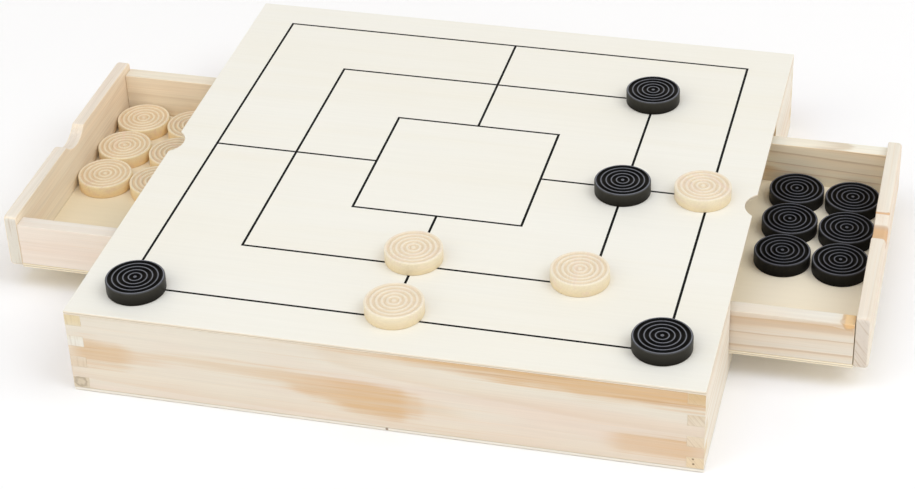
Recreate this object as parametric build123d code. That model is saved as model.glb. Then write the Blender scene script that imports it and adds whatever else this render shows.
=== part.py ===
from build123d import *
import math
import os

# Nine mens morris box: a finger-jointed case with the mill board on its lid,
# and a drawer of playing pieces in each side.
# Origin: centre of the case's underside. X runs from drawer to drawer, Y to the
# rear and Z up. Millimetres. The drawers stand partly open.

# ---- Case ----
case_width = 300.0
case_depth = 300.0
wall_height = 42.0
wall_thickness = 8.0
lid_thickness = 2.0
base_thickness = 2.0
finger_count = 7
divider_thickness = 8.0

# ---- Thumb notches in the lid's left and right edges ----
lid_notch_width = 19.0
lid_notch_depth = 4.8

# ---- Printed grid on the lid: sides of its squares, and its slight misplacement ----
outer_square = 255.0
middle_square = 170.0
inner_square = 85.0
line_width = 1.25
ink_depth = 0.2
grid_shift_x = -0.3
grid_shift_y = 2.2
grid_turn = -0.15

# ---- Drawers ----
drawer_width = 156.0
face_thickness = 7.0
face_round = 2.0
face_corner_round = 2.5
face_notch_width = 23.5
face_notch_depth = 5.5
side_thickness = 8.0
side_drop = 4.3
back_thickness = 8.0
drawer_base_thickness = 2.0
left_pull = 62.0
right_pull = 65.0

# ---- Runners inside the case ----
sill_height = 11.0
guide_thickness = 6.0
guide_height = 17.0

# ---- Clearances ----
drawer_side_gap = 1.0
drawer_under_gap = 0.2
drawer_stop_gap = 0.5
face_top_gap = 1.5

# ---- Playing pieces ----
piece_diameter = 28.0
piece_height = 7.0
piece_edge_round = 0.7
groove_count = 5
groove_width = 1.7
groove_depth = 0.5
first_groove_radius = 1.7
last_groove_to_rim = 2.0

# ---- How the pieces lie in the drawers ----
rows_of_pieces = 3
row_gap = 0.35
column_gap = 0.9
face_to_pieces = 0.4
left_side_to_columns = (0.6, 1.7)
right_side_to_columns = (3.0, 0.5)

# ---- Pieces on the board: colour, square, point of the square, offset from it ----
board_places = [
    ("black", outer_square, (-1, -1), (5.6, -1.9)),
    ("black", middle_square, (1, 1), (-1.1, 0.0)),
    ("black", middle_square, (1, 0), (-0.3, -3.1)),
    ("black", outer_square, (1, -1), (-1.3, 3.1)),
    ("light", outer_square, (1, 0), (-3.3, 0.0)),
    ("light", middle_square, (1, -1), (-5.5, 4.1)),
    ("light", middle_square, (0, -1), (-1.1, 5.2)),
    ("light", outer_square, (0, -1), (1.4, 4.7)),
]

# ---- Heights that follow ----
wall_top = base_thickness + wall_height
lid_top = wall_top + lid_thickness
finger_height = wall_height / finger_count
sill_top = base_thickness + sill_height
drawer_bottom = sill_top + drawer_under_gap
drawer_floor = drawer_bottom + drawer_base_thickness
face_top = wall_top - face_top_gap
side_top = face_top - side_drop

# ---- Plan sizes that follow ----
half_width = case_width / 2
half_depth = case_depth / 2
inner_half_width = half_width - wall_thickness
inner_half_depth = half_depth - wall_thickness
drawer_half_width = drawer_width / 2
drawer_inner_half = drawer_half_width - side_thickness
opening_half = drawer_half_width + drawer_side_gap
divider_face = divider_thickness / 2
drawer_length = half_width - divider_face - drawer_stop_gap
piece_radius = piece_diameter / 2


def block(xs, ys, zs):
    """A box between two values on each axis."""
    sizes = [abs(b - a) for a, b in (xs, ys, zs)]
    middle = [(a + b) / 2 for a, b in (xs, ys, zs)]
    return Pos(*middle) * Box(*sizes)


def scoop_radius(width, depth):
    """Radius of a round notch of this width and depth at an edge."""
    return (width**2 / 4 + depth**2) / (2 * depth)


def finger_spans(first):
    """Heights of every second finger, counted down from the top of the walls."""
    tops = [wall_top - i * finger_height for i in range(first, finger_count, 2)]
    return [(top - finger_height, top) for top in tops]


def long_wall(side):
    """Front (-1) or rear (+1) wall, with the even fingers of its two corners."""
    ys = (side * inner_half_depth, side * half_depth)
    wall = block((-inner_half_width, inner_half_width), ys, (base_thickness, wall_top))
    for end in (-1, 1):
        xs = (end * inner_half_width, end * half_width)
        for zs in finger_spans(1):
            wall += block(xs, ys, zs)
    return wall


def side_wall(side):
    """Left (-1) or right (+1) wall, open at the top where its drawer passes."""
    xs = (side * inner_half_width, side * half_width)
    wall = block(xs, (-inner_half_depth, inner_half_depth), (base_thickness, wall_top))
    for end in (-1, 1):
        ys = (end * inner_half_depth, end * half_depth)
        for zs in finger_spans(0):
            wall += block(xs, ys, zs)
    return wall - block(xs, (-opening_half, opening_half), (sill_top, wall_top))


def bearer(side, end):
    """Strip on the case base that a drawer slides on, from its wall to the divider."""
    xs = (side * divider_face, side * inner_half_width)
    ys = (end * drawer_inner_half, end * (opening_half + guide_thickness))
    return block(xs, ys, (base_thickness, sill_top))


def guide(side, end):
    """Strip glued on top of a bearer, that keeps the drawer straight."""
    xs = (side * divider_face, side * inner_half_width)
    ys = (end * opening_half, end * (opening_half + guide_thickness))
    return block(xs, ys, (sill_top, sill_top + guide_height))


def grid_frame(side_length):
    """The four lines of one square of the grid."""
    outside = side_length + line_width
    inside = side_length - line_width
    frame = Box(outside, outside, ink_depth) - Box(inside, inside, ink_depth)
    return Pos(0, 0, lid_top - ink_depth / 2) * frame


def grid_place(x, y):
    """Where a point of the grid comes on the lid."""
    turn = math.radians(grid_turn)
    across = x * math.cos(turn) - y * math.sin(turn) + grid_shift_x
    along = x * math.sin(turn) + y * math.cos(turn) + grid_shift_y
    return across, along


def printed_grid():
    """Three squares joined by a line across the middle of each side."""
    grid = grid_frame(outer_square) + grid_frame(middle_square) + grid_frame(inner_square)
    reach = (inner_square / 2, outer_square / 2)
    width = (-line_width / 2, line_width / 2)
    ink = (lid_top - ink_depth, lid_top)
    for end in (-1, 1):
        run = (end * reach[0], end * reach[1])
        grid += block(run, width, ink)
        grid += block(width, run, ink)
    return Pos(grid_shift_x, grid_shift_y, 0) * Rot(0, 0, grid_turn) * grid


def lid(grid):
    """Printed board that covers the case, notched over both drawers."""
    board = block((-half_width, half_width), (-half_depth, half_depth), (wall_top, lid_top))
    radius = scoop_radius(lid_notch_width, lid_notch_depth)
    reach = half_width - lid_notch_depth + radius
    for side in (-1, 1):
        scoop = Cylinder(radius, 2 * lid_thickness)
        board -= Pos(side * reach, 0, wall_top + lid_thickness / 2) * scoop
    return board - grid


def drawer_face(side, outer):
    """Board that closes the opening, rounded outside, with a thumb notch on top."""
    xs = (side * (outer - face_thickness), side * outer)
    face = block(xs, (-drawer_half_width, drawer_half_width), (drawer_bottom, face_top))
    corner_round = min(face_corner_round, (face_top - drawer_bottom) / 3)
    face = fillet(face.edges().filter_by(Axis.X), corner_round)
    outer_side = face.faces().sort_by(Axis.X)[-1 if side > 0 else 0]
    face = fillet(outer_side.edges(), min(face_round, face_thickness / 2))
    radius = scoop_radius(face_notch_width, face_notch_depth)
    middle = (side * (outer - face_thickness / 2), 0, face_top - face_notch_depth + radius)
    return face - Pos(*middle) * Rot(0, 90, 0) * Cylinder(radius, 2 * face_thickness)


def drawer(side, pull):
    """The five boards of one drawer, its face standing pull outside the case."""
    outer = half_width + pull
    inner = outer - drawer_length
    behind_face = outer - face_thickness
    side_xs = (side * inner, side * behind_face)
    walls = (drawer_floor, side_top)
    boards = {"face": drawer_face(side, outer)}
    for name, end in (("near_side", -1), ("far_side", 1)):
        ys = (end * drawer_inner_half, end * drawer_half_width)
        boards[name] = block(side_xs, ys, walls)
    back_xs = (side * inner, side * (inner + back_thickness))
    boards["back"] = block(back_xs, (-drawer_inner_half, drawer_inner_half), walls)
    base_ys = (-drawer_half_width, drawer_half_width)
    boards["base"] = block(side_xs, base_ys, (drawer_bottom, drawer_floor))
    return boards


def playing_piece():
    """Turned disc standing on z = 0, ringed with round grooves about a small nub."""
    disc = Pos(0, 0, piece_height / 2) * Cylinder(piece_radius, piece_height)
    disc = fillet(disc.edges().filter_by(GeomType.CIRCLE), piece_edge_round)
    cutter = scoop_radius(groove_width, groove_depth)
    reach = piece_radius - last_groove_to_rim - first_groove_radius
    for i in range(groove_count):
        radius = first_groove_radius + i * reach / (groove_count - 1)
        disc -= Pos(0, 0, piece_height - groove_depth + cutter) * Torus(radius, cutter)
    return disc


def drawer_places(side, pull, side_gaps):
    """Centres of the pieces lying in one drawer, column by column from its face."""
    behind_face = half_width + pull - face_thickness
    first_column = behind_face - face_to_pieces - piece_radius
    places = []
    for column, gap in enumerate(side_gaps):
        x = first_column - column * (piece_diameter + column_gap)
        for row in range(rows_of_pieces):
            y = drawer_inner_half - gap - piece_radius - row * (piece_diameter + row_gap)
            places.append((side * x, y, drawer_floor))
    return places


grid = printed_grid()
parts = {
    "board_lid": lid(grid),
    "board_grid": grid,
    "front_wall": long_wall(-1),
    "rear_wall": long_wall(1),
    "left_wall": side_wall(-1),
    "right_wall": side_wall(1),
    "case_base": block((-half_width, half_width), (-half_depth, half_depth), (0, base_thickness)),
    "divider": block(
        (-divider_face, divider_face),
        (-inner_half_depth, inner_half_depth),
        (base_thickness, wall_top),
    ),
}

for side, label, pull in ((-1, "left", left_pull), (1, "right", right_pull)):
    for end, place in ((-1, "near"), (1, "far")):
        parts[f"{label}_{place}_bearer"] = bearer(side, end)
        parts[f"{label}_{place}_guide"] = guide(side, end)
    for name, board in drawer(side, pull).items():
        parts[f"{label}_drawer_{name}"] = board

places = {"black": [], "light": []}
for colour, square, (column, row), (dx, dy) in board_places:
    x, y = grid_place(column * square / 2 + dx, row * square / 2 + dy)
    places[colour].append((x, y, lid_top))
places["black"] += drawer_places(1, right_pull, right_side_to_columns)
places["light"] += drawer_places(-1, left_pull, left_side_to_columns)

piece = playing_piece()
for colour, spots in places.items():
    for number, spot in enumerate(spots, start=1):
        parts[f"{colour}_piece_{number}"] = Pos(*spot) * piece

os.makedirs("parts", exist_ok=True)
for name, solid in parts.items():
    export_step(solid, f"parts/{name}.step")
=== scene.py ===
import math

import bmesh
import bpy
from mathutils import Matrix, Vector, noise


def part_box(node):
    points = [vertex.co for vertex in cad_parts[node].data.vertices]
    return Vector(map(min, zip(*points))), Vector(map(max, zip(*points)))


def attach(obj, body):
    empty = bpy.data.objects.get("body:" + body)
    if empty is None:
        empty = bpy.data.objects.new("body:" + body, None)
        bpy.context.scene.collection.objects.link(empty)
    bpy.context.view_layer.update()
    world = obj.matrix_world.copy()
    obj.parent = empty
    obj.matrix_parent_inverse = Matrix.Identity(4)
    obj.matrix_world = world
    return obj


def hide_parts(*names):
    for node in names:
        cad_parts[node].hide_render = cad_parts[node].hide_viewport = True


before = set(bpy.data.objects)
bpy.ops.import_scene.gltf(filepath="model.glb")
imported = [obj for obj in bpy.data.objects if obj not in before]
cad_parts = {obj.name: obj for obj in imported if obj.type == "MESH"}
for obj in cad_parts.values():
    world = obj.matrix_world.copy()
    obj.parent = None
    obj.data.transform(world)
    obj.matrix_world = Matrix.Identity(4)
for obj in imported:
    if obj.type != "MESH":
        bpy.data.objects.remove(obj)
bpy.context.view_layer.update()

# Looks of the nine mens morris box: planed boards with softened edges, a printed
# plywood lid and turned discs. Metres, in the frame of the CAD model.

MM = 0.001
SIDES = (("left", -1), ("right", 1))

# ---- Shapes ----
FINGERS = 7
JOINT_ARRIS = 0.18 * MM
BOARD_ARRIS = 0.55 * MM
SHEET_ARRIS = 0.35 * MM
JOINT_SEGMENTS = 2
ARRIS_SEGMENTS = 3
FACE_SEGMENTS = 5
EDGE_STEP = 12.0 * MM
WEAR_DEPTH = 0.12 * MM
WEAR_SCALE = 180.0
LEAST_WEAR = 0.15
FACE_ROUND = 2.0 * MM
FACE_CORNER = 2.5 * MM
CORNER_STEPS = 5
LID_NOTCH_WIDTH = 19.0 * MM
LID_NOTCH_DEPTH = 4.8 * MM
FACE_NOTCH_WIDTH = 23.5 * MM
FACE_NOTCH_DEPTH = 5.5 * MM
ARC_STEPS = 20
INK_STANDS_PROUD = 0.03 * MM
JOINT_LINE = 0.35 * MM
OPEN_JOINT = "right_drawer_near_side"
SHARP = math.radians(30)
FLAT_COSINE = 0.98
NEARLY = 0.9
SAME_PLACE = 1e-6

# ---- Playing pieces and their turned profile ----
PIECES = 10
ON_BOARD = 4
PIECE_TURN = 2.4
GRAIN_SPREAD = 60.0
piece_low, piece_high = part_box("black_piece_1")
PIECE_RADIUS = (piece_high.x - piece_low.x) / 2
PIECE_HEIGHT = piece_high.z - piece_low.z
GROOVES = 5
FIRST_GROOVE = 1.8 * MM
LAST_GROOVE_TO_RIM = 2.0 * MM
GROOVE_PITCH = (PIECE_RADIUS - LAST_GROOVE_TO_RIM - FIRST_GROOVE) / (GROOVES - 1)
GROOVE_WIDTH = 1.75 * MM
GROOVE_DEPTH = 0.55 * MM
GROOVE_SOFTNESS = 7.0
THIN_CREST = (0.86 * MM, 1.22 * MM, 1.35 * MM, 1.75 * MM)
BROAD_CREST = (0.4 * MM, 1.0 * MM, 2.0 * MM, 2.5 * MM)
RIM_ROUND = 0.7 * MM
RIM_STEPS = 6
FOOT_ROUND = 0.5 * MM
FOOT_STEPS = 4
TURNED_STEPS = 96
RADIAL_STEPS = 72

# ---- Noise in the grain: changes per millimetre along it and across it ----
WAVE = (0.006, 0.025)
RIPPLE = (0.04, 0.2)
FINE = (0.02, 1.3)
FIBRES = (0.008, 0.36)
HAIRS = (0.012, 0.9)
CLOUDS = (0.009, 0.05)
SWAY = (0.02, 0.05)
FRAY = (0.012, 0.75)
VENEER_FINE = (0.015, 0.7)
VENEER_CLOUDS = (0.006, 0.018)
VENEER_BANDS = (0.004, 0.09)
FLUTTER = (0.05, 0.05)
TURNED_FINE = (0.06, 1.2)
TURNED_GROWTH = (0.03, 0.3)
INK_WEAR = (0.05, 1.5)

# ---- Grain, in millimetres ----
STREAK_SCALE = 100.0
SWAY_WIDTH = 5.0
FRAY_WIDTH = 4.0
FLUTTER_WIDTH = 0.3
CORE_LINE = 0.42
RING_GAP = 1.2
KNOT_STRETCH = 0.75
KNOT_RAGGED = 0.8

# ---- Relief of the grain ----
WOOD_RELIEF = 0.06 * MM
FINE_RELIEF = 0.03 * MM
INK_RELIEF = 0.02 * MM

# ---- Where a sheet's dark core shows, as a share of its thickness ----
LID_CORE = 0.42
BASE_CORE = 0.9
FLOOR_CORE = 0.5

# ---- Floor, light and camera ----
FLOOR_HALF = 3.0
FLOOR_GAP = 0.2 * MM
FLOOR_COLOUR = (0.965, 0.965, 0.968, 1.0)
FLOOR_COLOUR_ALT = (0.98, 0.98, 0.983, 1.0)
HORIZON_COLOUR = (1.332, 1.243, 1.147, 1.0)
ZENITH_COLOUR = (0.14, 0.13, 0.096, 1.0)
LIGHT_SIZE = 1.9
SOFTBOXES = (
    dict(name="key", place=(-0.24, -0.90, 2.90), power=20.6, colour=(0.897, 1.0, 1.272)),
    dict(name="left_fill", place=(-1.68, -1.52, 2.08), power=14.7, colour=(0.977, 0.99, 0.894)),
    dict(name="right_fill", place=(1.60, -0.25, 2.34), power=29.7, colour=(0.959, 1.0, 1.041)),
)
CAMERA_TARGET = (0.03997, -0.02468, 0.046)
CAMERA_TURN = 13.488
CAMERA_LIFT = 33.754
CAMERA_ROLL = -1.172
CAMERA_DISTANCE = 1.129
CAMERA_LENS = 90.77
CAMERA_SHIFT = (-0.0730, -0.0402)
CAMERA_REACH = 20.0


# ================= Meshes =================

def add_object(name, data):
    """A new object in the scene."""
    item = bpy.data.objects.new(name, data)
    bpy.context.scene.collection.objects.link(item)
    return item


def smooth_mesh(name, bm):
    """The bmesh as a smoothly shaded mesh with outward normals."""
    bmesh.ops.recalc_face_normals(bm, faces=bm.faces)
    mesh = bpy.data.meshes.new(name)
    bm.to_mesh(mesh)
    bm.free()
    for polygon in mesh.polygons:
        polygon.use_smooth = True
    return mesh


def flat_faced(name, bm):
    """An object whose rounded edges are shaded smoothly and whose large faces stay flat."""
    piece = add_object(name, smooth_mesh(name, bm))
    modifier = piece.modifiers.new("flat faces", "WEIGHTED_NORMAL")
    modifier.keep_sharp = True
    modifier.weight = 100
    return piece


def sharp_edges(bm):
    """The edges where two faces meet at an angle."""
    return [e for e in bm.edges if e.is_manifold and e.calc_face_angle() > SHARP]


def round_edges(bm, width, segments=ARRIS_SEGMENTS, chosen=None):
    """Bevels every sharp edge, or the chosen ones."""
    edges = sharp_edges(bm) if chosen is None else chosen
    bmesh.ops.bevel(bm, geom=edges, offset=width, segments=segments, profile=0.5,
                    affect="EDGES", clamp_overlap=True)


def wear(bm):
    """Dents the edges a little, unevenly, as sanding and handling leave them."""
    bm.normal_update()
    for vertex in bm.verts:
        normals = [face.normal for face in vertex.link_faces]
        if min(normals[0].dot(normal) for normal in normals) < FLAT_COSINE:
            dent = max(0.0, noise.noise(vertex.co * WEAR_SCALE)) + LEAST_WEAR
            vertex.co -= vertex.normal * WEAR_DEPTH * dent


def long_edges(bm, axis, length):
    """The edges that run the whole length of a board along an axis."""
    return [e for e in bm.edges
            if abs((e.verts[1].co - e.verts[0].co)[axis]) > NEARLY * length]


def planed_board(name, low, high, arris):
    """A straight board with softened and slightly worn edges."""
    bm = bmesh.new()
    size = high - low
    place = Matrix.Translation((low + high) / 2) @ Matrix.Diagonal((*size, 1.0))
    bmesh.ops.create_cube(bm, size=1.0, matrix=place)
    for axis in range(3):
        cuts = int(size[axis] / EDGE_STEP)
        if cuts:
            bmesh.ops.subdivide_edges(bm, edges=long_edges(bm, axis, size[axis]), cuts=cuts,
                                      use_grid_fill=True)
    round_edges(bm, arris)
    wear(bm)
    return flat_faced(name, bm)


def plate_mesh(outline, low, high, normal_axis):
    """A bmesh of a flat outline, given in the other two axes, between two levels."""
    bm = bmesh.new()
    others = [axis for axis in range(3) if axis != normal_axis]

    def ring(level):
        verts = []
        for point in outline:
            place = [0.0, 0.0, 0.0]
            place[normal_axis] = level
            place[others[0]], place[others[1]] = point
            verts.append(bm.verts.new(place))
        return verts

    lower, upper = ring(low), ring(high)
    bm.faces.new(lower)
    bm.faces.new(upper)
    for i in range(len(outline)):
        j = (i + 1) % len(outline)
        bm.faces.new((lower[i], lower[j], upper[j], upper[i]))
    bmesh.ops.recalc_face_normals(bm, faces=bm.faces)
    return bm


def arc(centre, radius, start, turn, steps):
    """Points about a centre, from start degrees on through turn degrees."""
    points = []
    for i in range(steps + 1):
        angle = math.radians(start + turn * i / steps)
        points.append((centre[0] + radius * math.cos(angle),
                       centre[1] + radius * math.sin(angle)))
    return points


def notch_arc(width, depth):
    """Points of a round notch, as (along the edge, into the edge), end to end."""
    radius = (width ** 2 / 4 + depth ** 2) / (2 * depth)
    half = math.asin(width / 2 / radius)
    points = []
    for i in range(ARC_STEPS + 1):
        angle = -half + 2 * half * i / ARC_STEPS
        points.append((radius * math.sin(angle), depth - radius * (1 - math.cos(angle))))
    return points


def finger_steps(inner, outer, bottom, top, starts_out):
    """Points up one end of a finger-jointed wall."""
    step = (top - bottom) / FINGERS
    points = []
    for i in range(FINGERS):
        reach = outer if (i % 2 == 0) == starts_out else inner
        points.append((reach, bottom + i * step))
        points.append((reach, bottom + (i + 1) * step))
    return points


def mirrored(points):
    """The same run of points on the other side, in reverse order."""
    return [(-u, v) for u, v in reversed(points)]


# ================= Material graphs =================

def linear(red, green, blue):
    """A colour given as it looks on screen, 0 to 255, in linear values."""
    def channel(value):
        value /= 255
        return value / 12.92 if value <= 0.04045 else ((value + 0.055) / 1.055) ** 2.4
    return (channel(red), channel(green), channel(blue), 1.0)


class Graph:
    """Short names for the nodes of one material."""

    def __init__(self, name):
        self.material = bpy.data.materials.new(name)
        self.material.use_nodes = True
        self.tree = self.material.node_tree
        self.shader = self.tree.nodes["Principled BSDF"]

    def put(self, socket, value):
        if isinstance(value, bpy.types.NodeSocket):
            self.tree.links.new(value, socket)
        else:
            socket.default_value = value

    def add(self, kind, inputs=None, **settings):
        node = self.tree.nodes.new(kind)
        for key, value in settings.items():
            setattr(node, key, value)
        for key, value in (inputs or {}).items():
            self.put(node.inputs[key], value)
        return node

    def math(self, operation, a, b=0.0, c=0.0):
        return self.add("ShaderNodeMath", {0: a, 1: b, 2: c}, operation=operation).outputs[0]

    def vector(self, x, y, z):
        return self.add("ShaderNodeCombineXYZ", {0: x, 1: y, 2: z}).outputs[0]

    def length(self, a, b):
        squares = self.math("ADD", self.math("MULTIPLY", a, a), self.math("MULTIPLY", b, b))
        return self.math("SQRT", squares)

    def noise(self, vector, scale=1.0, detail=2.0, roughness=0.5):
        node = self.add("ShaderNodeTexNoise", {
            "Vector": vector, "Scale": scale, "Detail": detail, "Roughness": roughness})
        return node.outputs[0]

    def remap(self, value, low, high, to_low=0.0, to_high=1.0, smooth=True):
        node = self.add("ShaderNodeMapRange", {
            "Value": value, "From Min": low, "From Max": high,
            "To Min": to_low, "To Max": to_high})
        node.interpolation_type = "SMOOTHSTEP" if smooth else "LINEAR"
        return node.outputs[0]

    def ramp(self, value, stops, interpolation="LINEAR"):
        """Colours that follow a value, given as (value, colour) from the lowest up."""
        start, end = stops[0][0], stops[-1][0]
        node = self.add("ShaderNodeValToRGB", {0: self.remap(value, start, end, smooth=False)})
        node.color_ramp.interpolation = interpolation
        elements = node.color_ramp.elements
        while len(elements) < len(stops):
            elements.new(0.5)
        for element, (place, colour) in zip(elements, stops):
            element.position = (place - start) / (end - start)
            element.color = colour
        return node.outputs[0]

    def mix(self, factor, a, b, blend="MIX"):
        node = self.add("ShaderNodeMix", data_type="RGBA")
        node.blend_type = blend
        self.put(node.inputs[0], factor)
        self.put(node.inputs[6], a)
        self.put(node.inputs[7], b)
        return node.outputs[2]

    def bump(self, height, strength, distance):
        node = self.add("ShaderNodeBump", {
            "Height": height, "Strength": strength, "Distance": distance})
        self.tree.links.new(node.outputs[0], self.shader.inputs["Normal"])

    def surface(self, colour, roughness, specular):
        self.put(self.shader.inputs["Base Color"], colour)
        self.put(self.shader.inputs["Roughness"], roughness)
        self.shader.inputs["Specular IOR Level"].default_value = specular


WHITE = (1.0, 1.0, 1.0, 1.0)
WARMER = (0.97, 0.93, 0.84)
PALE = linear(234, 225, 210)
BLUSH = linear(234, 215, 200)
TAN = linear(222, 193, 156)
LINE = linear(184, 150, 112)
HEART = linear(211, 174, 126)
HEART_LINE = linear(184, 134, 88)
KNOT = linear(214, 168, 118)
KNOT_RIM = linear(166, 120, 78)
SPECK = linear(112, 84, 56)
END_LIGHT = linear(230, 224, 206)
END_WARM = linear(222, 202, 166)
END_LINE = linear(176, 150, 116)
PITH = linear(140, 122, 100)
CORE = linear(160, 142, 116)


def wood_axes(g, grain):
    """Position in millimetres along the grain and the two ways across it, and the facing.

    The facing is how far the surface looks along the grain, then how far upwards.
    """
    coordinates = g.add("ShaderNodeTexCoord")
    scaled = g.add("ShaderNodeVectorMath", {0: coordinates.outputs["Object"]}, operation="SCALE")
    scaled.inputs["Scale"].default_value = 1 / MM
    parts = g.add("ShaderNodeSeparateXYZ", {0: scaled.outputs[0]}).outputs
    normal = g.add("ShaderNodeSeparateXYZ", {0: coordinates.outputs["Normal"]}).outputs
    across, up = [axis for axis in range(3) if axis != grain]
    return parts[grain], parts[across], parts[up], normal[grain], normal[2]


def grain_noise(g, axes, rate, seed, detail=2.0, roughness=0.5):
    """Noise drawn out along the grain, which changes at two rates along and across it."""
    along, across = rate
    place = g.vector(g.math("MULTIPLY", axes[0], along), g.math("MULTIPLY", axes[1], across),
                     g.math("MULTIPLY_ADD", axes[2], across, seed))
    return g.noise(place, 1.0, detail, roughness)


def tinted(g, colour, factor, low, high):
    """The colour darkened or lightened a little, as the factor goes from 0.3 to 0.7."""
    shade = g.remap(factor, 0.3, 0.7, low, high, smooth=False)
    return g.mix(1.0, colour, g.vector(shade, shade, shade), "MULTIPLY")


def streak_mask(g, axes, seed, points, soft):
    """A stain along the grain through points of (along, height, half width, strength).

    Its height and half width pass through the colours of a ramp, divided by STREAK_SCALE.
    """
    along, up = axes[0], axes[2]
    stops = [(place, (height / STREAK_SCALE, half / STREAK_SCALE, strength, 1.0))
             for place, height, half, strength in points]
    course = g.ramp(along, stops, "EASE")
    height, half, strength = g.add("ShaderNodeSeparateColor", {0: course}).outputs[:3]
    sway = grain_noise(g, axes, SWAY, seed, 3.0, 0.6)
    frayed = grain_noise(g, axes, FRAY, seed + 2, 3.0, 0.6)
    fray_width = FRAY_WIDTH * soft
    moved = g.math("MULTIPLY_ADD", sway, SWAY_WIDTH,
                   g.math("MULTIPLY_ADD", frayed, fray_width, up))
    moved = g.math("SUBTRACT", moved, (SWAY_WIDTH + fray_width) / 2)
    offset = g.math("ABSOLUTE", g.math("MULTIPLY_ADD", height, -STREAK_SCALE, moved))
    inside = g.math("MULTIPLY_ADD", half, STREAK_SCALE, g.math("MULTIPLY", offset, -1.0))
    return g.math("MULTIPLY", g.remap(inside, -soft, soft), strength)


def knot_distance(g, axes, at_along, at_up, size):
    """Distance from a knot of uneven outline, 1 at its rim."""
    along = g.math("MULTIPLY", g.math("SUBTRACT", axes[0], at_along), KNOT_STRETCH / size)
    up = g.math("MULTIPLY", g.math("SUBTRACT", axes[2], at_up), 1 / size)
    plain = g.length(along, up)
    uneven = g.noise(g.vector(along, up, size), 1.6)
    return g.math("MULTIPLY_ADD", uneven, KNOT_RAGGED, g.math("SUBTRACT", plain, KNOT_RAGGED / 2))


def spot_distance(g, u, v, at_u, at_v):
    """Distance in the plane of two axes from a point."""
    return g.length(g.math("SUBTRACT", u, at_u), g.math("SUBTRACT", v, at_v))


def specked(g, colour, u, v, y, specks):
    """The colour with small dark specks, (u, v, radius), on the front half, where y < 0."""
    for at_u, at_v, size in specks:
        mask = g.remap(spot_distance(g, u, v, at_u, at_v), 1.4 * size, 0.5 * size, 0.0, 0.85)
        mask = g.math("MULTIPLY", mask, g.math("LESS_THAN", y, 0.0))
        colour = g.mix(mask, colour, SPECK)
    return colour


def end_grain(g, axes, seed, ends, lean, marks, pith, specks):
    """Sawn ends: faint lines over wood whose tint changes with height, and small rings.

    ends are (height, colour) from the lowest up, lean slants the lines, marks is their
    strength, and pith and specks are (across, height, radius).
    """
    along, across, up = axes[:3]
    colour = g.ramp(up, ends)
    lines = g.noise(g.vector(g.math("MULTIPLY", g.math("MULTIPLY_ADD", up, lean, across), 0.85),
                             seed + 4, g.math("MULTIPLY", up, 0.05)), 1.0, 1.0)
    colour = g.mix(g.remap(lines, 0.48, 0.7, 0.0, marks), colour, END_LINE)
    rough = g.noise(g.vector(across, seed, up), 0.6)
    for at_across, at_up, size in pith:
        far = spot_distance(g, across, up, at_across, at_up)
        ring = g.math("ABSOLUTE", g.math("MULTIPLY_ADD", rough, 2 * RING_GAP,
                                         g.math("SUBTRACT", far, size + RING_GAP)))
        colour = g.mix(g.remap(far, size, 0.3 * size, 0.0, 0.1), colour, PITH)
        colour = g.mix(g.remap(ring, 1.3, 0.1, 0.0, 0.5), colour, PITH)
    return specked(g, colour, across, up, along, specks)


def growth_rings(g, axes, seed, heart, spacing, drift, wander, knots):
    """The late wood of each ring about the heart, and its dark last line.

    The rings bulge round the knots, which are (distance, radius).
    """
    along, across, up = axes[:3]
    wave = g.math("MULTIPLY", g.math("SUBTRACT", grain_noise(g, axes, WAVE, seed), 0.5),
                  2 * wander)
    ripple = g.math("SUBTRACT", grain_noise(g, axes, RIPPLE, seed + 5), 0.5)
    shift = g.math("ADD", wave, ripple)
    a = g.math("SUBTRACT", g.math("ADD", across, shift),
               g.math("MULTIPLY_ADD", along, drift[0], heart[0]))
    b = g.math("SUBTRACT", g.math("ADD", up, shift),
               g.math("MULTIPLY_ADD", along, drift[1], heart[1]))
    radius = g.length(a, b)
    # A bulge falls off from its knot as a bell curve does.
    for distance, size in knots:
        near = g.math("POWER", 2.72, g.math("MULTIPLY", g.math("POWER", distance, 2.0), -0.35))
        radius = g.math("MULTIPLY_ADD", near, 1.1 * size, radius)
    uneven = g.noise(g.vector(g.math("MULTIPLY", radius, 0.11), seed, 0.0), 1.0, 1.0)
    phase = g.math("FRACT", g.math("MULTIPLY_ADD", uneven, 2.2,
                                   g.math("DIVIDE", radius, spacing)))
    # A ring is pale for its first quarter, darkens until 0.9 and breaks off at its end.
    late = g.math("MULTIPLY", g.remap(phase, 0.25, 0.9), g.remap(phase, 1.0, 0.93))
    line = g.math("MULTIPLY", g.remap(phase, 0.74, 0.9), g.remap(phase, 1.0, 0.94))
    return late, line


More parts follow.
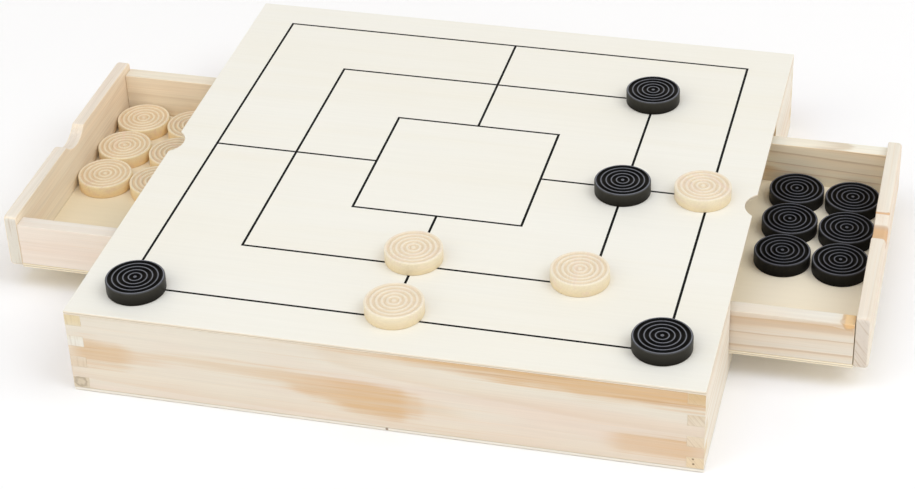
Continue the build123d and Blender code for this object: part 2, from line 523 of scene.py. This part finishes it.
def wood(name, grain, seed, heart=(60.0, -90.0), spacing=5.0, drift=(0.03, 0.02),
         contrast=0.3, lines=0.2, pale=PALE, blush=BLUSH, tan=TAN, streaks=(), knots=(),
         wander=4.0, soft=2.0, texture=1.0, knot_tint=KNOT, top=WHITE,
         ends=((5.0, END_WARM), (41.0, END_LIGHT)), lean=0.0, marks=0.35, pith=(), specks=()):
    """Planed softwood: rings about a distant heart, fibres, stains and knots.

    grain is the axis that the fibres run along. heart is where the tree's heart lies
    across the grain and drift how it leans, spacing the rings' width and wander how far
    they stray, in millimetres. knots are (along, height, radius). texture is how strongly
    the fibres show and soft how blurred the streaks are. top tints the upward faces with
    painted light or shade, lighter or darker than the sides. What follows top is for end_grain.
    """
    g = Graph(name)
    axes = wood_axes(g, grain)
    end_on, upright = axes[3:]
    distances = [knot_distance(g, axes, *knot) for knot in knots]
    bulges = [(distance, size) for distance, (_, _, size) in zip(distances, knots)]
    late, line = growth_rings(g, axes, seed, heart, spacing, drift, wander, bulges)

    fine = grain_noise(g, axes, FINE, seed + 9, 4.0, 0.65)
    fibres = grain_noise(g, axes, FIBRES, seed + 6, 3.0, 0.6)
    hairs = grain_noise(g, axes, HAIRS, seed + 12)
    clouds = grain_noise(g, axes, CLOUDS, seed + 3)
    colour = g.mix(g.remap(clouds, 0.35, 0.7), pale, blush)
    colour = g.mix(g.math("MULTIPLY", late, contrast), colour, tan)
    colour = g.mix(g.math("MULTIPLY", line, lines), colour, LINE)
    hair = g.remap(hairs, 0.58, 0.72)
    colour = g.mix(g.math("MULTIPLY", hair, 0.22), colour, tan)
    rich = g.mix(g.math("MULTIPLY", hair, 0.55), HEART, HEART_LINE)
    for number, points in enumerate(streaks):
        mask = streak_mask(g, axes, seed + number, points, soft)
        mask = g.math("MULTIPLY", mask, g.remap(fibres, 0.25, 0.7, 0.6, 1.0))
        colour = g.mix(mask, colour, rich)
    colour = tinted(g, colour, fine, 1 - 0.035 * texture, 1 + 0.025 * texture)
    colour = tinted(g, colour, fibres, 1 - 0.025 * texture, 1 + 0.02 * texture)
    for distance in distances:
        colour = g.mix(g.remap(distance, 1.35, 0.6, 0.0, 0.85), colour, knot_tint)
        rim = g.math("MULTIPLY", g.remap(distance, 0.6, 0.95), g.remap(distance, 1.3, 1.0))
        colour = g.mix(g.math("MULTIPLY", rim, 0.3), colour, KNOT_RIM)
    # Painted light and shade: the upward faces are multiplied by the top tint.
    colour = g.mix(g.remap(upright, 0.6, 0.95), colour, g.mix(1.0, colour, top, "MULTIPLY"))
    sawn = end_grain(g, axes, seed, ends, lean, marks, pith, specks)
    sawn = tinted(g, sawn, fine, 0.97, 1.02)
    colour = g.mix(g.remap(g.math("ABSOLUTE", end_on), 0.7, 0.95), colour, sawn)

    g.surface(colour, g.remap(fine, 0.3, 0.7, 0.62, 0.5, smooth=False), 0.35)
    g.bump(g.math("MULTIPLY_ADD", late, -0.6, fine), 0.35, WOOD_RELIEF)
    return g.material


def veneer(name, grain, seed, face, edge, core, tint=0.35, specks=()):
    """Thin plywood: a quiet face veneer, and a dark core line round its edges.

    core is the height of that line in metres. specks lie on the edges as (along, height,
    radius) in millimetres. tint is how far the face turns warmer in places.
    """
    g = Graph(name)
    axes = wood_axes(g, grain)
    along, across, up, _, upright = axes
    fine = grain_noise(g, axes, VENEER_FINE, seed, 4.0, 0.6)
    clouds = grain_noise(g, axes, VENEER_CLOUDS, seed + 4, 3.0)
    bands = grain_noise(g, axes, VENEER_BANDS, seed + 7)
    warm = (*(channel * share for channel, share in zip(face, WARMER)), 1.0)
    colour = g.mix(g.math("MULTIPLY", g.remap(clouds, 0.3, 0.75), tint), face, warm)
    colour = g.mix(g.math("MULTIPLY", g.remap(bands, 0.5, 0.75), tint * 0.6), colour, warm)
    colour = tinted(g, colour, fine, 0.985, 1.008)
    flutter = grain_noise(g, axes, FLUTTER, seed + 9)
    away = g.math("SUBTRACT", g.math("MULTIPLY_ADD", flutter, FLUTTER_WIDTH, up),
                  core / MM + FLUTTER_WIDTH / 2)
    away = g.math("ABSOLUTE", away)
    side = g.mix(g.remap(away, CORE_LINE, 0.2 * CORE_LINE, 0.0, 0.5), edge, CORE)
    side = specked(g, tinted(g, side, fine, 0.97, 1.02), along, up, across, specks)
    colour = g.mix(g.remap(g.math("ABSOLUTE", upright), 0.75, 0.4), colour, side)
    g.surface(colour, g.remap(fine, 0.3, 0.7, 0.55, 0.45, smooth=False), 0.35)
    g.bump(fine, 0.2, FINE_RELIEF)
    return g.material


def from_groove(g, radius):
    """Distance in metres from the middle of the nearest turned groove."""
    cycle = g.math("DIVIDE", g.math("SUBTRACT", radius, FIRST_GROOVE), GROOVE_PITCH)
    nearest = g.math("ROUND", g.math("MINIMUM", g.math("MAXIMUM", cycle, 0.0), GROOVES - 1.0))
    return g.math("MULTIPLY", g.math("ABSOLUTE", g.math("SUBTRACT", cycle, nearest)),
                  GROOVE_PITCH)


def turned_wood(name, seed, ridge, groove, side, foot, streak, roughness, specular, crest):
    """Lathe-turned wood with painted light and shade: painted shade darkens its grooves and, on its
    side, darkens it towards its foot, while its ridges and rim carry a lighter painted highlight.

    crest is how far from the middle of a groove its ridge begins, has its full colour,
    begins to fade and ends. streak is the colour of the growth rings and their strength.
    """
    g = Graph(name)
    local = g.add("ShaderNodeTexCoord").outputs["Object"]
    chance = g.add("ShaderNodeObjectInfo").outputs["Random"]
    parts = g.add("ShaderNodeSeparateXYZ", {0: local}).outputs
    radius = g.length(parts[0], parts[1])
    x, y, z = (g.math("MULTIPLY", part, 1 / MM) for part in parts[:3])
    axes = (x, y, g.math("ADD", z, g.math("MULTIPLY_ADD", chance, GRAIN_SPREAD, seed)))
    fine = grain_noise(g, axes, TURNED_FINE, seed, 4.0, 0.6)
    growth = grain_noise(g, axes, TURNED_GROWTH, seed + 3)
    away = from_groove(g, radius)
    begins, full, fades, gone = crest
    # Painted highlight on the ridges and painted shade in the grooves between them.
    ridge_highlight_mask = g.math("MULTIPLY", g.remap(away, begins, full), g.remap(away, gone, fades))
    top = g.mix(ridge_highlight_mask, groove, ridge)
    height = g.remap(parts[2], 0.0, PIECE_HEIGHT, smooth=False)
    # Painted shade: the side darkens towards the foot.
    wall = g.mix(height, foot, side)
    # Painted highlight along the rim, laid on in the ridge colour.
    rim = g.math("MULTIPLY", g.remap(height, 0.9, 0.97),
                 g.remap(radius, PIECE_RADIUS - RIM_ROUND, PIECE_RADIUS - 0.9 * RIM_ROUND))
    on_top = g.remap(radius, PIECE_RADIUS - 0.3 * RIM_ROUND, PIECE_RADIUS - 0.5 * RIM_ROUND)
    colour = g.mix(g.math("MULTIPLY", on_top, g.math("GREATER_THAN", height, 0.8)), wall, top)
    colour = g.mix(g.math("MULTIPLY", rim, 0.2), colour, ridge)
    dull, strength = streak
    colour = g.mix(g.remap(growth, 0.5, 0.75, 0.0, strength), colour, dull)
    colour = tinted(g, colour, fine, 0.95, 1.04)
    g.surface(colour, g.remap(fine, 0.3, 0.7, roughness + 0.06, roughness, smooth=False),
              specular)
    g.bump(fine, 0.25, FINE_RELIEF)
    return g.material


def printing_ink(name):
    """Matt black ink, a little thin where the grain carries it badly."""
    g = Graph(name)
    axes = wood_axes(g, 0)
    grain = grain_noise(g, axes, INK_WEAR, 2.0, 4.0, 0.6)
    colour = g.mix(g.remap(grain, 0.45, 0.75), linear(10, 10, 11), linear(30, 29, 28))
    g.surface(colour, 0.6, 0.12)
    g.bump(grain, 0.2, INK_RELIEF)
    return g.material


def floor_paper(name):
    """Plain pale floor."""
    g = Graph(name)
    mottle = g.noise(g.add("ShaderNodeTexCoord").outputs["Object"], 6.0)
    g.surface(g.mix(mottle, FLOOR_COLOUR, FLOOR_COLOUR_ALT), 0.9, 0.1)
    return g.material


# ================= Pieces of the box =================

def put(piece, body, node, material):
    """Rides the piece on its body, in place of its CAD node, with its finish."""
    piece.data.materials.append(material)
    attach(piece, body)
    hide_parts(node)


def board(node, body, material, arris=BOARD_ARRIS, shorter=False):
    """A planed board as large as its CAD node, or a hairline shorter at its right end."""
    low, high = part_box(node)
    if shorter:
        high.x -= JOINT_LINE
    put(planed_board(node + "_board", low, high, arris), body, node, material)


def long_wall(node, material):
    """Front or rear wall, its odd fingers reaching the case's sides."""
    low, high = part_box(node)
    outer, inner = high.x, high.x - (high.y - low.y)
    right = finger_steps(inner, outer, low.z, high.z, starts_out=False)
    bm = plate_mesh(right + mirrored(right), low.y, high.y, normal_axis=1)
    round_edges(bm, JOINT_ARRIS, JOINT_SEGMENTS)
    put(flat_faced(node + "_board", bm), "case", node, material)


def side_wall(node, side, material):
    """Left or right wall, open at the top for its drawer."""
    low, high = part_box(node)
    outer, inner = high.y, high.y - (high.x - low.x)
    opening_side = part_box(f"{side}_far_guide")[0].y
    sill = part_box(f"{side}_far_bearer")[1].z
    rear = finger_steps(inner, outer, low.z, high.z, starts_out=True)
    opening = [(opening_side, high.z), (opening_side, sill)]
    outline = rear + opening + mirrored(opening) + mirrored(rear)
    bm = plate_mesh(outline, low.x, high.x, normal_axis=0)
    round_edges(bm, JOINT_ARRIS, JOINT_SEGMENTS)
    put(flat_faced(node + "_board", bm), "case", node, material)


def lid(material):
    """Plywood board with a round notch over each drawer."""
    low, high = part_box("board_lid")
    arch = notch_arc(LID_NOTCH_WIDTH, LID_NOTCH_DEPTH)
    notch = [(high.x - depth, along) for along, depth in arch]
    right = [(high.x, low.y)] + notch + [(high.x, high.y)]
    outline = right + mirrored(right)
    bm = plate_mesh(outline, low.z, high.z - INK_STANDS_PROUD, normal_axis=2)
    round_edges(bm, SHEET_ARRIS)
    put(flat_faced("board_lid_sheet", bm), "case", "board_lid", material)


def corner_arc(y, z, inward_y, inward_z, start):
    """Points round one corner of a drawer's face, turning a quarter from start degrees."""
    centre = (y + inward_y * FACE_CORNER, z + inward_z * FACE_CORNER)
    return arc(centre, FACE_CORNER, start, 90, CORNER_STEPS)


def drawer_face(side, sign, material):
    """Front board of a drawer, rounded outside, with a round notch in its top."""
    node = f"{side}_drawer_face"
    low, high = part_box(node)
    arch = notch_arc(FACE_NOTCH_WIDTH, FACE_NOTCH_DEPTH)
    outline = corner_arc(high.y, low.z, -1, 1, 270) + corner_arc(high.y, high.z, -1, -1, 0)
    outline += [(along, high.z - depth) for along, depth in reversed(arch)]
    outline += corner_arc(low.y, high.z, 1, -1, 90) + corner_arc(low.y, low.z, 1, 1, 180)
    bm = plate_mesh(outline, low.x, high.x, normal_axis=0)
    outer = high.x if sign > 0 else low.x
    outside = [e for e in sharp_edges(bm)
               if all(abs(v.co.x - outer) < SAME_PLACE for v in e.verts)]
    round_edges(bm, FACE_ROUND, FACE_SEGMENTS, outside)
    round_edges(bm, BOARD_ARRIS)
    put(flat_faced(node + "_board", bm), f"{side}_drawer", node, material)


def turned_profile():
    """Half section of a playing piece, from the middle of its top to that of its foot."""
    flat_from = PIECE_RADIUS - RIM_ROUND
    points = []
    for i in range(RADIAL_STEPS):
        radius = flat_from * i / RADIAL_STEPS
        number = round((radius - FIRST_GROOVE) / GROOVE_PITCH)
        centre = FIRST_GROOVE + min(max(number, 0), GROOVES - 1) * GROOVE_PITCH
        hollow = 1.0 - ((radius - centre) / (GROOVE_WIDTH / 2)) ** 2
        dip = math.log1p(math.exp(GROOVE_SOFTNESS * hollow)) / GROOVE_SOFTNESS
        points.append((radius, PIECE_HEIGHT - GROOVE_DEPTH * dip))
    points += arc((flat_from, PIECE_HEIGHT - RIM_ROUND), RIM_ROUND, 90, -90, RIM_STEPS)
    points += arc((PIECE_RADIUS - FOOT_ROUND, FOOT_ROUND), FOOT_ROUND, 0, -90, FOOT_STEPS)
    points.append((0.0, 0.0))
    return points


def turned_mesh(name):
    """A playing piece's profile turned about its middle, as one mesh that many share."""
    bm = bmesh.new()
    rings = []
    for radius, height in turned_profile():
        if radius == 0.0:
            rings.append([bm.verts.new((0.0, 0.0, height))])
            continue
        ring = []
        for i in range(TURNED_STEPS):
            angle = math.tau * i / TURNED_STEPS
            ring.append(bm.verts.new((radius * math.cos(angle), radius * math.sin(angle), height)))
        rings.append(ring)
    for upper, lower in zip(rings, rings[1:]):
        for i in range(TURNED_STEPS):
            j = (i + 1) % TURNED_STEPS
            corners = [upper[i % len(upper)], upper[j % len(upper)],
                       lower[j % len(lower)], lower[i % len(lower)]]
            bm.faces.new(dict.fromkeys(corners))
    return smooth_mesh(name, bm)


def playing_pieces(colour, first, last, material):
    """Some pieces of one colour, each turned its own way about its middle."""
    shape = turned_mesh(f"{colour}_disc_{first}")
    shape.materials.append(material)
    for number in range(first, last + 1):
        node = f"{colour}_piece_{number}"
        low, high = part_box(node)
        piece = add_object(f"{node}_disc", shape)
        piece.location = ((low.x + high.x) / 2, (low.y + high.y) / 2, low.z)
        piece.rotation_euler.z = number * PIECE_TURN
        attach(piece, node)
        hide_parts(node)


def core_height(node, share):
    """Height of a sheet's core line, a share of its thickness above its underside."""
    low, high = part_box(node)
    return low.z + share * (high.z - low.z)


# ---- Case: its streaks run through points of (along, height, half width, strength) ----
FRONT_STREAKS = (
    ((-151.0, 24.0, 6.0, 0.3), (-142.0, 24.0, 7.5, 0.75), (-127.0, 23.0, 6.5, 0.75),
     (-114.0, 23.0, 3.5, 0.45), (-97.0, 24.5, 3.0, 0.4), (-70.0, 24.8, 3.5, 0.5),
     (-50.0, 24.0, 4.0, 0.6), (-30.0, 20.5, 6.5, 0.75), (-8.0, 17.5, 8.5, 0.9),
     (8.0, 16.5, 8.5, 0.9), (17.0, 16.5, 6.0, 0.6), (24.0, 17.0, 4.0, 0.3),
     (52.0, 15.0, 3.0, 0.0)),
    ((-60.0, 50.0, 4.5, 0.0), (-45.0, 50.0, 5.2, 0.6), (-10.0, 50.0, 7.0, 0.9),
     (20.0, 50.0, 8.8, 0.95), (50.0, 50.0, 11.2, 1.0), (70.0, 50.0, 12.4, 1.0),
     (100.0, 50.0, 15.2, 1.0), (151.0, 50.0, 15.0, 1.0)),
    ((100.0, 11.5, 3.5, 0.0), (116.0, 11.5, 5.0, 0.65), (142.0, 11.0, 5.5, 0.75),
     (151.0, 11.0, 5.0, 0.5)),
)
REAR_STREAKS = (
    ((-110.0, 34.0, 2.0, 0.0), (-60.0, 31.0, 4.0, 0.6), (20.0, 27.0, 7.0, 0.8),
     (60.0, 25.0, 3.0, 0.3), (120.0, 24.0, 2.0, 0.0)),
    ((-151.0, 6.0, 4.0, 0.7), (-90.0, 5.0, 3.0, 0.5), (-30.0, 3.0, 2.0, 0.0)),
)
LEFT_ENDS = ((5.0, linear(214, 202, 180)), (17.0, linear(220, 203, 180)),
             (29.0, linear(231, 229, 220)), (41.0, linear(222, 206, 170)))
RIGHT_ENDS = ((5.0, linear(226, 206, 174)), (17.0, linear(224, 208, 184)),
              (29.0, linear(222, 210, 190)), (41.0, linear(212, 184, 142)))
long_wall("front_wall", wood("front_pine", 0, 3.0, heart=(-210.0, 40.0), spacing=7.0,
                             contrast=0.16, lines=0.06, pale=linear(226, 219, 205),
                             blush=linear(225, 209, 194), streaks=FRONT_STREAKS, soft=3.0))
long_wall("rear_wall", wood("rear_pine", 0, 11.0, heart=(180.0, 70.0), spacing=6.0,
                            contrast=0.25, lines=0.12, streaks=REAR_STREAKS,
                            knots=((88.0, 30.0, 3.0),)))
side_wall("left_wall", "left", wood("left_pine", 1, 17.0, heart=(-220.0, -30.0), spacing=5.0,
                                    contrast=0.3, lines=0.2, ends=LEFT_ENDS, marks=0.22,
                                    pith=((-146.4, 5.2, 2.6),)))
side_wall("right_wall", "right", wood("right_pine", 1, 23.0, heart=(200.0, -60.0), spacing=6.0,
                                      contrast=0.2, lines=0.15, pale=linear(234, 229, 217),
                                      blush=linear(232, 220, 203), ends=RIGHT_ENDS, lean=0.8,
                                      marks=0.28, specks=((145.0, 7.0, 0.5), (145.2, 4.2, 0.55))))
lid(veneer("lid_veneer", 0, 5.0, linear(240, 238, 229), linear(233, 223, 205),
           core_height("board_lid", LID_CORE), tint=0.3))
board("case_base", "case",
      veneer("base_veneer", 0, 8.0, linear(232, 222, 200), linear(233, 229, 219),
             core_height("case_base", BASE_CORE), specks=((3.0, 1.0, 0.7),)), SHEET_ARRIS)
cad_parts["board_grid"].data.materials[0] = printing_ink("grid_ink")
inner_pine = wood("inner_pine", 1, 31.0, heart=(120.0, -80.0), contrast=0.4, lines=0.3)
board("divider", "case", inner_pine)
rail_pine = wood("rail_pine", 0, 37.0, heart=(130.0, -60.0), spacing=4.5, contrast=0.4, lines=0.3)
for side, _ in SIDES:
    for place in ("near", "far"):
        for part in ("bearer", "guide"):
            board(f"{side}_{place}_{part}", "case", rail_pine)

# ---- Drawers ----
# The top tints of these boards are painted light and shade on their upper edges.
DRAWER_WOODS = {
    "left_drawer_near_side": dict(seed=41.0, heart=(-300.0, 10.0), spacing=8.0, contrast=0.1,
                                  lines=0.04, pale=linear(237, 229, 219),
                                  blush=linear(237, 222, 209), top=(0.97, 0.98, 0.97, 1.0)),
    "left_drawer_far_side": dict(seed=43.0, heart=(40.0, -260.0), spacing=9.0, contrast=0.15,
                                 lines=0.06, pale=linear(252, 239, 216),
                                 blush=linear(250, 228, 200), texture=1.8,
                                 top=(0.92, 0.98, 1.04, 1.0)),
    "right_drawer_near_side": dict(seed=47.0, heart=(-60.0, -260.0), spacing=6.5, contrast=0.3,
                                   lines=0.4, pale=linear(225, 218, 205),
                                   blush=linear(223, 210, 193),
                                   streaks=(((90.0, 35.3, 0.8, 0.15), (130.0, 35.3, 1.0, 0.3),
                                             (207.0, 35.2, 1.4, 0.4)),),
                                   knots=((205.0, 37.4, 2.2),), knot_tint=linear(226, 184, 126),
                                   wander=1.5, soft=0.8, top=(1.08, 1.13, 1.17, 1.0)),
    # Its pale colours are lifted to make up for the shade on its inner face, a painted light, and
    # its top tint takes that back on the upper edge.
    "right_drawer_far_side": dict(seed=53.0, heart=(60.0, -240.0), spacing=6.0,
                                  drift=(0.03, -0.045), contrast=0.4, lines=0.36,
                                  pale=linear(255, 244, 218), blush=linear(255, 236, 206),
                                  tan=linear(250, 222, 184), top=(0.89, 1.0, 1.15, 1.0),
                                  # This streak is partly a warm stain in the wood and partly a
                                  # painted shadow of the case.
                                  streaks=(((130.0, 21.0, 5.0, 0.8), (146.0, 20.5, 5.0, 0.7),
                                            (160.0, 19.0, 3.0, 0.0)),),
                                  wander=2.0, texture=1.4),
}
FLOOR_VENEERS = {"left": linear(242, 228, 198), "right": linear(255, 243, 218)}
# The top tints of these faces are painted light and shade on their upper edges.
FACE_WOODS = {
    "left": dict(seed=67.0, heart=(-420.0, -30.0), spacing=8.0, contrast=0.12, lines=0.04,
                 pale=linear(247, 235, 214), blush=linear(244, 226, 202), texture=2.2,
                 top=(0.88, 0.91, 0.98, 1.0),
                 ends=((15.0, linear(223, 219, 207)), (42.0, linear(222, 217, 207)))),
    "right": dict(seed=71.0, heart=(420.0, -40.0), spacing=7.0, contrast=0.15, lines=0.08,
                  pale=linear(232, 224, 209), blush=linear(232, 218, 201),
                  ends=((15.0, linear(215, 204, 191)), (42.0, linear(217, 208, 197))),
                  lean=0.7, marks=0.45, knots=((-1.5, 36.5, 4.6), (11.6, 41.6, 0.6)),
                  top=(1.01, 1.04, 1.06, 1.0)),
}
for side, sign in SIDES:
    for end in ("near", "far"):
        node = f"{side}_drawer_{end}_side"
        board(node, f"{side}_drawer",
              wood(node + "_pine", 0, **DRAWER_WOODS[node]), shorter=node == OPEN_JOINT)
    board(f"{side}_drawer_back", f"{side}_drawer", inner_pine)
    base = f"{side}_drawer_base"
    board(base, f"{side}_drawer",
          veneer(f"{side}_floor_veneer", 0, 61.0 + sign, FLOOR_VENEERS[side],
                 linear(240, 230, 206), core_height(base, FLOOR_CORE)), SHEET_ARRIS)
    drawer_face(side, sign, wood(f"{side}_face_pine", 1, **FACE_WOODS[side]))

# ---- Playing pieces ----
# The bluish-grey ridge colour is a painted reflection of the bright surroundings, and the
# near-black grooves are painted shade.
playing_pieces("black", 1, ON_BOARD, turned_wood(
    "black_beech", 4.0, ridge=linear(122, 124, 131), groove=linear(4, 4, 4),
    side=linear(57, 56, 51), foot=linear(22, 20, 16), streak=(linear(34, 32, 32), 0.2),
    roughness=0.34, specular=0.06, crest=THIN_CREST))
# A darker copy of the black pieces' finish for those in the drawers: painted shade.
playing_pieces("black", ON_BOARD + 1, PIECES, turned_wood(
    "black_beech_painted_shade", 5.0, ridge=linear(108, 109, 116), groove=linear(3, 3, 3),
    side=linear(38, 37, 34), foot=linear(12, 11, 9), streak=(linear(24, 22, 22), 0.2),
    roughness=0.34, specular=0.05, crest=THIN_CREST))
playing_pieces("light", 1, ON_BOARD, turned_wood(
    "light_beech", 6.0, ridge=linear(235, 224, 203), groove=linear(227, 209, 180),
    side=linear(238, 228, 203), foot=linear(230, 212, 174),
    streak=(linear(230, 208, 192), 0.5), roughness=0.42, specular=0.35, crest=BROAD_CREST))
playing_pieces("light", ON_BOARD + 1, PIECES, turned_wood(
    "light_beech_warm", 9.0, ridge=linear(240, 224, 194), groove=linear(224, 198, 160),
    side=linear(252, 236, 198), foot=linear(245, 214, 162),
    streak=(linear(232, 200, 176), 0.5), roughness=0.42, specular=0.35, crest=BROAD_CREST))


# ================= Floor, light and camera =================

def area_light(name, place, power, colour):
    """A square softbox that faces the box."""
    light = bpy.data.lights.new(name, "AREA")
    light.shape = "SQUARE"
    light.size = LIGHT_SIZE
    light.energy = power
    light.color = colour
    lamp = add_object(name, light)
    lamp.location = place
    lamp.rotation_euler = (-Vector(place)).to_track_quat("-Z", "Y").to_euler()


def floor():
    """Plain pale floor under the case."""
    mesh = bpy.data.meshes.new("floor")
    corners = [(x * FLOOR_HALF, y * FLOOR_HALF, 0) for x, y in ((-1, -1), (1, -1), (1, 1), (-1, 1))]
    mesh.from_pydata(corners, [], [(0, 1, 2, 3)])
    piece = add_object("floor", mesh)
    piece.location.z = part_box("case_base")[0].z - FLOOR_GAP
    mesh.materials.append(floor_paper("floor_paper"))


def surroundings():
    """Light tent: warm white all round and from below, and dim overhead."""
    world = bpy.data.worlds.new("studio")
    world.use_nodes = True
    nodes, links = world.node_tree.nodes, world.node_tree.links
    direction = nodes.new("ShaderNodeSeparateXYZ")
    links.new(nodes.new("ShaderNodeTexCoord").outputs["Generated"], direction.inputs[0])
    blend = nodes.new("ShaderNodeMix")
    blend.data_type = "RGBA"
    blend.inputs[6].default_value = HORIZON_COLOUR
    blend.inputs[7].default_value = ZENITH_COLOUR
    links.new(direction.outputs[2], blend.inputs[0])
    links.new(blend.outputs[2], nodes["Background"].inputs["Color"])
    bpy.context.scene.world = world


def camera():
    """The photograph's view: from the front, a little to the right, and above."""
    turn, lift, roll = (math.radians(v) for v in (CAMERA_TURN, CAMERA_LIFT, CAMERA_ROLL))
    right = Vector((math.cos(turn), math.sin(turn), 0.0))
    level = math.cos(lift)
    back = Vector((math.sin(turn) * level, -math.cos(turn) * level, math.sin(lift)))
    up = back.cross(right)
    rolled_right = right * math.cos(roll) + up * math.sin(roll)
    rolled_up = up * math.cos(roll) - right * math.sin(roll)
    data = bpy.data.cameras.new("camera")
    data.lens = CAMERA_LENS
    data.shift_x, data.shift_y = CAMERA_SHIFT
    data.clip_end = CAMERA_REACH
    view = add_object("camera", data)
    axes = Matrix((rolled_right, rolled_up, back)).transposed().to_4x4()
    view.matrix_world = Matrix.Translation(Vector(CAMERA_TARGET) + back * CAMERA_DISTANCE) @ axes
    bpy.context.scene.camera = view


floor()
surroundings()
for softbox in SOFTBOXES:
    area_light(**softbox)
camera()
bpy.context.scene.view_settings.view_transform = "Standard"
